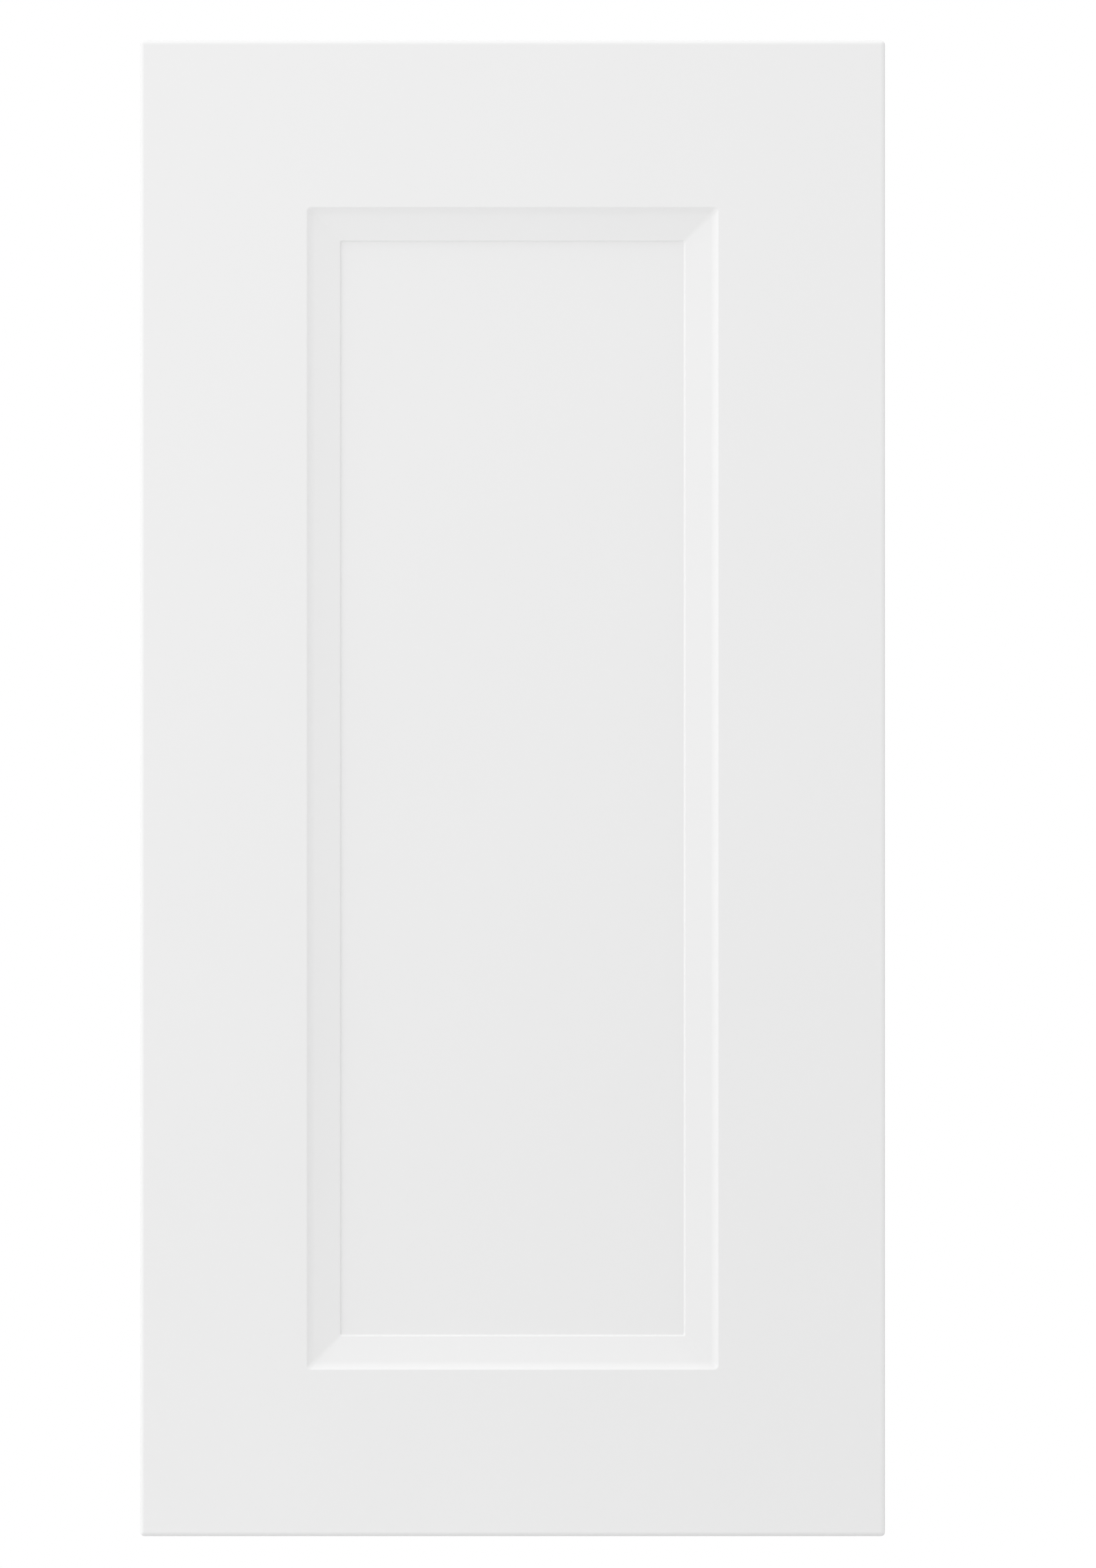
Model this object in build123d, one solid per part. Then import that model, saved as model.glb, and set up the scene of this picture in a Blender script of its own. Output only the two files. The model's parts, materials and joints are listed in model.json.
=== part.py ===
from build123d import *
import math
import os

# A kitchen cabinet door routed from one board of fibreboard, in millimetres.
# X runs across the door, +Z is up, the front looks along -Y and the back face lies at y = 0.
# The origin is the middle of the back face. Seen from the front, the door hangs on its left side.

# Board
door_width = 397.0
door_height = 797.0
door_thickness = 19.0
edge_radius = 2.5
back_edge_radius = 0.5

# Moulding round the sunk panel, in the order met from the frame inwards.
# An angle is the slope away from the front face.
frame_width = 89.0
arris_radius = 1.0
cove_radius = 7.0
cove_angle = 54.0
bevel_width = 13.2
bevel_angle = 12.0
step_height = 1.3
step_angle = 65.0
step_nose_radius = 0.5
step_foot_radius = 0.6

# Corners of the moulding, where its sides meet
moulding_corner_radius = 2.4
panel_corner_radius = 1.1

# Bores in the back for two hinges
hinge_side_distance = 22.5
hinge_end_distance = 100.0
cup_diameter = 35.0
cup_depth = 13.0
dowel_diameter = 8.0
dowel_depth = 11.5
dowel_spacing = 45.0
dowel_offset = 9.5

# How far a cutting shape runs past the face that it cuts
cut_margin = 2.0

# Sizes that follow from the ones above
opening_half_width = door_width / 2 - frame_width
opening_half_height = door_height / 2 - frame_width
cove_slope = math.radians(cove_angle)
bevel_slope = math.radians(bevel_angle)
step_slope = math.radians(step_angle)
cove_run = cove_radius * (math.sin(cove_slope) - math.sin(bevel_slope))
cove_drop = cove_radius * (math.cos(bevel_slope) - math.cos(cove_slope))
bevel_drop = bevel_width * math.tan(bevel_slope)
bevel_end = cove_run + bevel_width
bevel_end_depth = cove_drop + bevel_drop
panel_depth = bevel_end_depth + step_height
panel_edge = bevel_end + step_height / math.tan(step_slope)


def cove_point(slope):
    """Point of the cove where it has this slope: distance in from the frame, and depth."""
    run = cove_radius * (math.sin(cove_slope) - math.sin(slope))
    drop = cove_radius * (math.cos(slope) - math.cos(cove_slope))
    return run, drop


def moulding_section(half_opening):
    """Section of the cove and bevel, which run on past the front face and into the step."""
    above = (-cut_margin / math.tan(cove_slope), -cut_margin)
    run_on = step_height / 2
    below = (bevel_end + run_on / math.tan(bevel_slope), bevel_end_depth + run_on)

    def placed(point):
        return half_opening - point[0], point[1]

    cove_start = placed(cove_point(cove_slope))
    cove_middle = placed(cove_point((cove_slope + bevel_slope) / 2))
    cove_end = placed(cove_point(bevel_slope))
    with BuildSketch() as section:
        with BuildLine():
            Polyline((0, below[1]), (0, above[1]), placed(above), cove_start)
            ThreePointArc(cove_start, cove_middle, cove_end)
            Polyline(cove_end, placed(below), (0, below[1]))
        make_face()
        mirror(about=Plane.YZ)
    return section.sketch


def is_mitre(edge):
    """True for an edge that lies in the 45 degree plane through a corner of the opening."""
    for share in (0.2, 0.5, 0.8):
        point = edge.position_at(share)
        in_from_side = opening_half_width - abs(point.X)
        in_from_end = opening_half_height - abs(point.Z)
        if abs(in_from_side - in_from_end) > 0.001:
            return False
    start, end = edge.position_at(0), edge.position_at(1)
    return abs(start.X - end.X) > 0.001 or abs(start.Y - end.Y) > 0.001


def moulding_cut():
    """The cove and bevel along all four sides, with rounded mitres."""
    across = Plane(origin=(0, -door_thickness, 0), x_dir=(1, 0, 0), z_dir=(0, 0, 1))
    along = Plane(origin=(0, -door_thickness, 0), x_dir=(0, 0, 1), z_dir=(-1, 0, 0))
    sides = extrude(across * moulding_section(opening_half_width), amount=door_height / 2, both=True)
    ends = extrude(along * moulding_section(opening_half_height), amount=door_width / 2, both=True)
    cut = sides & ends
    return fillet(cut.edges().filter_by(is_mitre), radius=moulding_corner_radius)


def panel_cut():
    """The step down to the flat panel, with its rounded foot."""
    floor = Plane(origin=(0, panel_depth - door_thickness, 0), x_dir=(1, 0, 0), z_dir=(0, -1, 0))
    outline = RectangleRounded(
        2 * (opening_half_width - panel_edge),
        2 * (opening_half_height - panel_edge),
        panel_corner_radius,
    )
    cut = extrude(floor * outline, amount=panel_depth + cut_margin, taper=step_angle - 90)
    foot = cut.faces().sort_by(Axis.Y)[-1].edges()
    return fillet(foot, radius=step_foot_radius)


def sunk_field():
    """Everything that is routed out of the front."""
    moulding = moulding_cut()
    panel = panel_cut()
    field = moulding + panel
    nose = new_edges(moulding, panel, combined=field)
    return fillet(nose, radius=step_nose_radius)


def hinge_bores():
    """Two hinge positions: a cup bore and the two dowel holes beside it."""
    back = Plane.XZ
    cup_x = hinge_side_distance - door_width / 2
    cup_z = door_height / 2 - hinge_end_distance
    bores = []
    for z in (-cup_z, cup_z):
        bores.append(extrude(back * Pos(cup_x, z) * Circle(cup_diameter / 2), amount=cup_depth))
        for side in (-1, 1):
            place = Pos(cup_x + dowel_offset, z + side * dowel_spacing / 2)
            bores.append(extrude(back * place * Circle(dowel_diameter / 2), amount=dowel_depth))
    return bores


def blank():
    """The board before routing, with its corners and front edges rounded alike."""
    board = extrude(Plane.XZ * Rectangle(door_width, door_height), amount=door_thickness)
    front = board.faces().sort_by(Axis.Y)[0].edges()
    corners = board.edges().filter_by(Axis.Y)
    board = fillet(front + corners, radius=edge_radius)
    back = board.faces().sort_by(Axis.Y)[-1].edges()
    return fillet(back, radius=back_edge_radius)


def door():
    """The finished board, with the arris eased all round the opening."""
    routed = blank() - sunk_field()
    front = routed.faces().sort_by(Axis.Y)[0]
    routed = fillet(front.inner_wires()[0].edges(), radius=arris_radius)
    return routed - hinge_bores()


door_board = door()

os.makedirs("parts", exist_ok=True)
export_step(door_board, "parts/door_board.step")
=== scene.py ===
import json
import math

import bmesh
import bpy
from mathutils import Matrix, Vector


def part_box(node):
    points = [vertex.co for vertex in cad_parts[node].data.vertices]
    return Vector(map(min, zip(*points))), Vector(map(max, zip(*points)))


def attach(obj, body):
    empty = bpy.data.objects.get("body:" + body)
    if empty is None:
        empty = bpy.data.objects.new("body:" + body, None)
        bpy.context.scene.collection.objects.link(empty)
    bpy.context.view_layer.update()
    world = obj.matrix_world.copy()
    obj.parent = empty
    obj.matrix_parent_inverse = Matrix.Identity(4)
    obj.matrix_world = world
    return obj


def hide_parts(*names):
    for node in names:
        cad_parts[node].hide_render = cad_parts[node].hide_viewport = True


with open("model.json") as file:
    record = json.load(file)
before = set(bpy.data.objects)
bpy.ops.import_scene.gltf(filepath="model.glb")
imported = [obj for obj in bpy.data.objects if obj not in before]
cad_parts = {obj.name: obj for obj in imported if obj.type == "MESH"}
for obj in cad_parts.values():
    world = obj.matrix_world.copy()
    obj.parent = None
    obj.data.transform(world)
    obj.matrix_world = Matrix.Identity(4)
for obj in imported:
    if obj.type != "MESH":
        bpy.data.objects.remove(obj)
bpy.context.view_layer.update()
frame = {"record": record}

# A white kitchen cabinet door, routed from one board. Metres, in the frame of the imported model:
# X across, +Z up, the front looks along -Y and the back face lies at y = 0.

MM = 0.001

low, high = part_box("door_board")
mounts = {mount["name"]: mount for mount in frame["record"]["mounts"]}

# Board. Each corner keeps a little radius at the front face, so that none ends in a point.
half_width = (high.x - low.x) / 2
half_height = (high.z - low.z) / 2
thickness = high.y - low.y
corner_radius = 2.5 * MM
front_corner_radius = 0.1 * MM
edge_radius = corner_radius - front_corner_radius
back_edge_radius = 0.5 * MM

# Moulding, from the frame inwards. An angle is the slope away from the front face.
frame_width = 89.0 * MM
arris_radius = 1.0 * MM
cove_radius = 7.0 * MM
cove_angle = math.radians(54)
bevel_width = 13.2 * MM
bevel_angle = math.radians(12)
step_height = 1.3 * MM
step_angle = math.radians(65)
step_nose_radius = 0.5 * MM
step_foot_radius = 0.6 * MM

# Plan radii of the moulding's corners, which grow tighter from the frame to the panel
arris_corner = 2.3 * MM
cove_corner = 2.2 * MM
bevel_corner = 1.9 * MM
panel_corner = 1.1 * MM
panel_foot_corner = 0.8 * MM

# Bores in the back. The drill breaks the lip and marks the floor at its rim and middle.
dowel_depth = 11.5 * MM
lip_break = 0.12 * MM
rim_groove_width = 0.5 * MM
rim_groove_depth = 0.25 * MM
cup_point_radius = 1.3 * MM
cup_point_depth = 0.9 * MM
dowel_point_radius = 0.8 * MM
dowel_point_depth = 0.7 * MM
point_tip_share = 0.25

# Faces that meet at more than this angle meet in a crease
crease_angle = math.radians(40)

# Steps in a quarter turn of a corner or an arc, and in a full turn of a bore or the floor
CORNER_STEPS = 8
ARC_STEPS = 10
CUP_STEPS = 96
DOWEL_STEPS = 48
FLOOR_STEPS = 96

# Finishes, numbered as they are added to the door
FILM, BACK, RAW = range(3)

# Floor, which fades out into the background
floor_drop = 250 * MM
floor_radius = 800 * MM
fade_start = 0.45 * floor_radius
fade_end = 0.98 * floor_radius

# Sky: its even light, how that leans, and what each direction loses or gains
sky_level = 1.35
sky_lean = (-0.12, 0, 0.165)
sky_side_loss = 0.1
sky_upright_gain = 0.05
sky_front_loss = 1.19
sky_back_loss = 1.4

# The photograph's frame, and where the door lies in it, in pixels
photo_width = 1605
photo_height = 2296
door_left = 205.0
door_right = 1296.3
door_top = 59.2
door_bottom = 2249.6

# Camera: the lengths of its lens and of its film's longer side, in millimetres
lens_length = 250
film_height = 36


class Section:
    """The door's section, drawn from the back face round the edge and in to the panel.

    A point holds its distance in from the door's edge, its y and the plan radius of the corners
    there. The heading is the angle of travel in that plane: 180 degrees is outwards, 270 is
    forwards and 360 is inwards along the front face.
    """

    def __init__(self, inset, y, corner):
        self.heading = math.pi
        self.points = [(inset, y, corner)]

    def turn(self, radius, heading, corner):
        """Follow an arc to a new heading, while the corner radius changes evenly."""
        inset, y, old_corner = self.points[-1]
        change = heading - self.heading
        side = math.copysign(1, change)
        steps = max(1, round(ARC_STEPS * abs(change) / (math.pi / 2)))
        for step in range(1, steps + 1):
            share = step / steps
            angle = self.heading + change * share
            run = side * radius * (math.sin(angle) - math.sin(self.heading))
            drop = side * radius * (math.cos(self.heading) - math.cos(angle))
            self.points.append((inset + run, y + drop, old_corner + (corner - old_corner) * share))
        self.heading = heading

    def go(self, length, corner):
        """Go straight on."""
        inset, y, _ = self.points[-1]
        run = length * math.cos(self.heading)
        drop = length * math.sin(self.heading)
        self.points.append((inset + run, y + drop, corner))


def door_section():
    """Back arris, side, front edge, frame, moulding and the step down to the panel."""
    forwards = 1.5 * math.pi
    inwards = 2 * math.pi

    # The arris is a rolling ball between the front face and the cove's circle
    cove_middle = cove_radius * math.sin(cove_angle)
    reach = cove_radius + arris_radius
    rise = cove_radius * math.cos(cove_angle) + arris_radius
    arris_start = cove_middle - math.sqrt(reach**2 - rise**2)
    arris_end_angle = math.asin((cove_middle - arris_start) / reach)

    nose_tangent = step_nose_radius * math.tan((step_angle - bevel_angle) / 2)
    foot_tangent = step_foot_radius * math.tan(step_angle / 2)
    bevel_length = bevel_width / math.cos(bevel_angle) - nose_tangent
    wall_length = step_height / math.sin(step_angle) - nose_tangent - foot_tangent

    section = Section(back_edge_radius, 0, corner_radius - back_edge_radius)
    section.turn(back_edge_radius, forwards, corner_radius)
    section.go(thickness - back_edge_radius - edge_radius, corner_radius)
    section.turn(edge_radius, inwards, front_corner_radius)
    section.go(frame_width + arris_start - edge_radius, arris_corner)
    section.turn(arris_radius, inwards + arris_end_angle, cove_corner)
    section.turn(cove_radius, inwards + bevel_angle, bevel_corner)
    section.go(bevel_length, panel_corner)
    section.turn(step_nose_radius, inwards + step_angle, panel_corner)
    section.go(wall_length, panel_corner)
    section.turn(step_foot_radius, inwards, panel_foot_corner)
    return section.points


def pull_ring(bm, ring):
    """Extrude a closed ring of edges in place. Returns the new ring and its vertices."""
    made = bmesh.ops.extrude_edge_only(bm, edges=ring)["geom"]
    verts = [part for part in made if isinstance(part, bmesh.types.BMVert)]
    fresh = set(verts)
    edges = [part for part in made if isinstance(part, bmesh.types.BMEdge)]
    return [edge for edge in edges if fresh.issuperset(edge.verts)], verts


def resize_and_move(bm, verts, centre, size, shift):
    """Scale vertices about a centre in the plane of the door, then move them."""
    space = Matrix.Translation(-centre)
    bmesh.ops.scale(bm, vec=(size, 1, size), space=space, verts=verts)
    bmesh.ops.translate(bm, vec=shift, verts=verts)


def corner_centre(x_side, z_side, point):
    """Middle of the plan arc of one of the door's corners, at this point of the section."""
    inset, y, corner = point
    x = half_width - inset - corner
    z = half_height - inset - corner
    return Vector((x_side * x, y, z_side * z))


def carry_corners(bm, verts, old, new):
    """Move a ring's four corner arcs from one point of the section to the next."""
    size = new[-1] / old[-1]
    for x_side in (-1, 1):
        for z_side in (-1, 1):
            arc = [v for v in verts if v.co.x * x_side > 0 and v.co.z * z_side > 0]
            centre = corner_centre(x_side, z_side, old)
            shift = corner_centre(x_side, z_side, new) - centre
            resize_and_move(bm, arc, centre, size, shift)


def board_shell(bm):
    """The whole outside but the flat back. Returns the ring of edges round the back."""
    points = door_section()
    inset, _, corner = points[0]

    # An upright square, one metre wide, is stretched to the back face
    upright = Matrix.Rotation(math.pi / 2, 4, "X")
    made = bmesh.ops.create_grid(bm, x_segments=1, y_segments=1, size=0.5, matrix=upright)
    size = (2 * (half_width - inset), 1, 2 * (half_height - inset))
    bmesh.ops.scale(bm, vec=size, verts=made["verts"])
    bmesh.ops.bevel(
        bm,
        geom=made["verts"],
        offset=corner,
        offset_type="OFFSET",
        segments=CORNER_STEPS,
        profile=0.5,
        affect="VERTICES",
        material=-1,
    )
    back_ring = list(bm.edges)
    bmesh.ops.delete(bm, geom=list(bm.faces), context="FACES_ONLY")

    ring = back_ring
    for old, new in zip(points, points[1:]):
        ring, verts = pull_ring(bm, ring)
        carry_corners(bm, verts, old, new)
    bmesh.ops.contextual_create(bm, geom=ring)
    return back_ring


def bore(bm, centre, radius, depth, point_radius, point_depth, steps):
    """A drilled hole: broken lip, wall, rim groove, floor and the mark of the bit's point.

    Returns the ring of edges at its mouth.
    """
    place = Matrix.Translation(centre) @ Matrix.Rotation(math.pi / 2, 4, "X")
    mouth = radius + lip_break
    old_edges = set(bm.edges)
    bmesh.ops.create_circle(bm, cap_ends=False, segments=steps, radius=mouth, matrix=place)
    mouth_ring = [edge for edge in bm.edges if edge not in old_edges]
    profile = (
        (radius, -lip_break),
        (radius, -depth - rim_groove_depth),
        (radius - rim_groove_width, -depth - rim_groove_depth),
        (radius - rim_groove_width - rim_groove_depth, -depth),
        (point_radius, -depth),
        (point_radius * point_tip_share, -depth - point_depth),
    )
    ring = mouth_ring
    old_radius, old_y = mouth, 0
    for new_radius, new_y in profile:
        ring, verts = pull_ring(bm, ring)
        shift = (0, new_y - old_y, 0)
        resize_and_move(bm, verts, centre, new_radius / old_radius, shift)
        old_radius, old_y = new_radius, new_y
    bmesh.ops.contextual_create(bm, geom=ring)
    return mouth_ring


def cup_bore(bm, cup):
    """The bore for a hinge's cup, at its packed mount. Returns the ring at its mouth."""
    x, _, z = cup["pos_m"]
    radius = cup["dims"]["r_mm"] * MM
    depth = cup["dims"]["length_mm"] * MM
    point = (cup_point_radius, cup_point_depth)
    return bore(bm, Vector((x, 0, z)), radius, depth, *point, CUP_STEPS)


def dowel_holes(bm, dowels):
    """The two holes for a hinge's dowels, at their packed mount. Returns both rings at once."""
    x, _, z = dowels["pos_m"]
    radius = dowels["dims"]["hole_r_mm"] * MM
    spacing = dowels["dims"]["spacing_y_mm"] * MM
    point = (dowel_point_radius, dowel_point_depth)
    rings = []
    for side in (-0.5, 0.5):
        middle = Vector((x, 0, z + side * spacing))
        rings += bore(bm, middle, radius, dowel_depth, *point, DOWEL_STEPS)
    return rings


def hinge_bores(bm):
    """Both hinge positions. Returns the rings at the mouths of all their bores."""
    rings = []
    for end in ("upper", "lower"):
        rings += cup_bore(bm, mounts["hinge_cup_" + end])
        rings += dowel_holes(bm, mounts["hinge_dowels_" + end])
    return rings


def new_object(name, data):
    """An object of this data, linked into the scene."""
    made = bpy.data.objects.new(name, data)
    bpy.context.scene.collection.objects.link(made)
    return made


def mesh_object(name, bm):
    """An object with the mesh of a finished bmesh."""
    mesh = bpy.data.meshes.new(name)
    bm.to_mesh(mesh)
    bm.free()
    return new_object(name, mesh)


def make_door():
    """The door as one closed mesh, its faces sorted into finishes."""
    bm = bmesh.new()
    back_ring = board_shell(bm)
    shell = set(bm.faces)
    mouths = hinge_bores(bm)
    drilled = set(bm.faces) - shell
    made = bmesh.ops.triangle_fill(bm, use_beauty=True, edges=back_ring + mouths)
    back = {part for part in made["geom"] if isinstance(part, bmesh.types.BMFace)}
    for finish, faces in ((FILM, shell), (RAW, drilled), (BACK, back)):
        for face in faces:
            face.material_index = finish
            face.smooth = True
    bmesh.ops.recalc_face_normals(bm, faces=list(bm.faces))
    door = mesh_object("door", bm)
    door.data.set_sharp_from_angle(angle=crease_angle)
    flatten = door.modifiers.new("flat faces stay flat", "WEIGHTED_NORMAL")
    flatten.keep_sharp = True
    return door


class Socket:
    """An output of a shader node. Arithmetic on it adds Math nodes."""

    def __init__(self, shader, output):
        self.shader = shader
        self.output = output

    def math(self, operation, first, second):
        values = {0: first, 1: second}
        return self.shader.add("ShaderNodeMath", {"operation": operation}, values)

    def at_least(self, other):
        """The greater of the two."""
        return self.math("MAXIMUM", self, other)

    def __add__(self, other):
        return self.math("ADD", self, other)

    def __sub__(self, other):
        return self.math("SUBTRACT", self, other)

    def __rsub__(self, other):
        return self.math("SUBTRACT", other, self)

    def __mul__(self, other):
        return self.math("MULTIPLY", self, other)

    __radd__ = __add__
    __rmul__ = __mul__


class Shader:
    """The nodes of one material or of the world."""

    def __init__(self, owner):
        owner.use_nodes = True
        self.tree = owner.node_tree
        self.tree.nodes.clear()

    def add(self, kind, settings=None, values=None, output=0):
        """A new node. Its settings are set first, then its sockets get values or links."""
        node = self.tree.nodes.new(kind)
        for name, value in (settings or {}).items():
            setattr(node, name, value)
        for name, value in (values or {}).items():
            if isinstance(value, Socket):
                self.tree.links.new(value.output, node.inputs[name])
            else:
                node.inputs[name].default_value = value
        return Socket(self, node.outputs[output]) if node.outputs else None

    def place(self, output="Object"):
        """Where the shaded point lies: in the object's own axes, or for the world its direction."""
        return self.add("ShaderNodeTexCoord", output=output)

    def vector_math(self, operation, *vectors, output="Vector"):
        values = dict(enumerate(vectors))
        return self.add("ShaderNodeVectorMath", {"operation": operation}, values, output)

    def ray(self, kind):
        """1 for light rays of this kind, and 0 for all others."""
        return self.add("ShaderNodeLightPath", output=f"Is {kind} Ray")

    def noise(self, size, detail, roughness=0.5):
        """Noise whose features are about this size, as a number from 0 to 1."""
        place = self.place()
        values = {"Vector": place, "Scale": 1 / size, "Detail": detail, "Roughness": roughness}
        return self.add("ShaderNodeTexNoise", {"noise_dimensions": "3D"}, values)

    def bump(self, height, depth, under=None):
        """Normals of a surface this deep, laid over the normals of a coarser one."""
        values = {"Height": height, "Distance": depth, "Strength": 1.0}
        if under:
            values["Normal"] = under
        return self.add("ShaderNodeBump", None, values, output="Normal")

    def blend(self, share, first, second):
        """Mix of two colours."""
        settings = {"data_type": "RGBA", "blend_type": "MIX"}
        values = {"Factor": share, 6: first, 7: second}
        return self.add("ShaderNodeMix", settings, values, output=2)

    def choose(self, share, first, second):
        """Mix of two shaders."""
        return self.add("ShaderNodeMixShader", None, {0: share, 1: first, 2: second})

    def surface(self, **values):
        """The finished surface."""
        named = {name.replace("_", " "): value for name, value in values.items()}
        principled = self.add("ShaderNodeBsdfPrincipled", None, named)
        self.add("ShaderNodeOutputMaterial", None, {"Surface": principled})


def white_film():
    """Matt white film, pressed hard over the routed board: all but even, uneven up close."""
    darker = (0.854, 0.854, 0.854, 1)
    lighter = (0.866, 0.866, 0.866, 1)
    material = bpy.data.materials.new("white_film")
    shader = Shader(material)
    cloud = shader.noise(size=90 * MM, detail=1)
    peel = shader.noise(size=4.5 * MM, detail=1)
    grain = shader.noise(size=0.7 * MM, detail=2)
    peel_normal = shader.bump(peel, depth=0.012 * MM)
    normal = shader.bump(grain, depth=0.003 * MM, under=peel_normal)
    colour = shader.blend(cloud, darker, lighter)
    shader.surface(Base_Color=colour, Roughness=0.60 + 0.08 * cloud, Normal=normal)
    return material


def back_laminate():
    """White laminate of the back, with a fine pearl texture."""
    darker = (0.79, 0.79, 0.785, 1)
    lighter = (0.805, 0.805, 0.80, 1)
    material = bpy.data.materials.new("back_laminate")
    shader = Shader(material)
    cloud = shader.noise(size=120 * MM, detail=1)
    pearl = shader.noise(size=1.1 * MM, detail=2)
    normal = shader.bump(pearl, depth=0.02 * MM)
    colour = shader.blend(cloud, darker, lighter)
    shader.surface(Base_Color=colour, Roughness=0.38 + 0.08 * pearl, Normal=normal)
    return material


def raw_board():
    """Drilled fibreboard: pale brown, felted, with darker and paler fibres."""
    dark_fibre = (0.33, 0.21, 0.11, 1)
    pale_fibre = (0.66, 0.47, 0.285, 1)
    material = bpy.data.materials.new("raw_board")
    shader = Shader(material)
    tone = shader.noise(size=2.5 * MM, detail=3)
    fibre = shader.noise(size=0.35 * MM, detail=3, roughness=0.7)
    normal = shader.bump(fibre, depth=0.12 * MM)
    pale_share = 0.9 * (tone + fibre) - 0.4
    colour = shader.blend(pale_share, dark_fibre, pale_fibre)
    shader.surface(Base_Color=colour, Roughness=0.92, Normal=normal)
    return material


def floor_paint():
    """Pale and matt, fading out towards the floor's rim, and clear from underneath.

    It is darker in the light that it gives back to the door than it looks to the camera.
    """
    dark = (0.68, 0.68, 0.68, 1)
    pale = (0.80, 0.80, 0.80, 1)
    material = bpy.data.materials.new("floor")
    shader = Shader(material)
    flat = shader.vector_math("MULTIPLY", shader.place(), (1, 1, 0))
    reach = shader.vector_math("LENGTH", flat, output="Value")
    limits = {"Value": reach, "From Min": fade_start, "From Max": fade_end}
    fade = shader.add("ShaderNodeMapRange", {"interpolation_type": "SMOOTHSTEP"}, limits)
    underside = shader.add("ShaderNodeNewGeometry", output="Backfacing")
    tone = shader.blend(shader.ray("Camera"), dark, pale)
    matt = shader.add("ShaderNodeBsdfDiffuse", None, {"Color": tone})
    clear = shader.add("ShaderNodeBsdfTransparent")
    mixed = shader.choose(fade.at_least(underside), matt, clear)
    shader.add("ShaderNodeOutputMaterial", None, {"Surface": mixed})
    return material


def make_floor():
    """A round floor below the hung door."""
    bm = bmesh.new()
    place = Matrix.Translation((0, 0, low.z - floor_drop))
    bmesh.ops.create_circle(
        bm, cap_ends=True, segments=FLOOR_STEPS, radius=floor_radius, matrix=place
    )
    floor = mesh_object("floor", bm)
    floor.data.materials.append(floor_paint())


def make_world():
    """Soft light from above, below and both sides, with the most from the upper left.

    Little of it comes from straight in front and none from straight behind. The camera, mirrors
    and glass see plain white.
    """
    white = (1, 1, 1, 1)
    world = bpy.data.worlds.new("studio")
    bpy.context.scene.world = world
    shader = Shader(world)
    direction = shader.place("Generated")

    def towards(*way):
        return shader.vector_math("DOT_PRODUCT", direction, way, output="Value")

    side = towards(1, 0, 0)
    up = towards(0, 0, 1)
    front = towards(0, -1, 0).at_least(0.0)
    back = towards(0, 1, 0).at_least(0.0)
    strength = sky_level + towards(*sky_lean)
    strength = strength - sky_side_loss * (side * side) + sky_upright_gain * (up * up)
    strength = strength - sky_front_loss * (front * front) - sky_back_loss * back
    values = {"Color": white, "Strength": strength.at_least(0.0)}
    light = shader.add("ShaderNodeBackground", None, values)
    backdrop = shader.add("ShaderNodeBackground", None, {"Color": white, "Strength": 1.0})
    seen = shader.ray("Camera").at_least(shader.ray("Glossy"))
    seen = seen.at_least(shader.ray("Transmission"))
    mixed = shader.choose(seen, light, backdrop)
    shader.add("ShaderNodeOutputWorld", None, {"Surface": mixed})


def make_lamp(name, place, width, share):
    """A square lamp aimed at the door's middle.

    With a share of 1 it would light the door's face as much as a plain white sky does.
    """
    place = Vector(place)
    slant = abs(place.normalized().y)
    white_sky = math.pi
    power_for_light = math.pi * place.length_squared / slant
    data = bpy.data.lights.new(name, "AREA")
    data.shape = "SQUARE"
    data.size = width
    data.energy = share * white_sky * power_for_light
    lamp = new_object(name, data)
    lamp.location = place
    lamp.rotation_mode = "QUATERNION"
    lamp.rotation_quaternion = (-place).to_track_quat("-Z", "Y")
    lamp.visible_camera = False


def make_camera():
    """Straight in front, with a long lens, so that the door lies where the photograph has it."""
    data = bpy.data.cameras.new("camera")
    data.lens = lens_length
    data.sensor_width = film_height
    scale = (door_right - door_left) / (2 * half_width)
    seen_height = photo_height / scale
    distance = seen_height * lens_length / film_height
    camera = new_object("camera", data)
    camera.location = (
        (photo_width / 2 - (door_left + door_right) / 2) / scale,
        -thickness - distance,
        ((door_top + door_bottom) / 2 - photo_height / 2) / scale,
    )
    camera.rotation_euler = (math.pi / 2, 0, 0)
    bpy.context.scene.camera = camera


door = make_door()
for finish in (white_film, back_laminate, raw_board):
    door.data.materials.append(finish())
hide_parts("door_board")
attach(door, "root")

make_floor()
make_world()
make_lamp("left", place=(-1.48, -2.35, 0), width=0.4, share=0.154)
make_lamp("top", place=(0, -1.74, 0.92), width=0.3, share=0.074)
make_lamp("back", place=(0, 2.5, 0), width=0.6, share=0.45)
make_camera()
bpy.context.scene.view_settings.view_transform = "Standard"
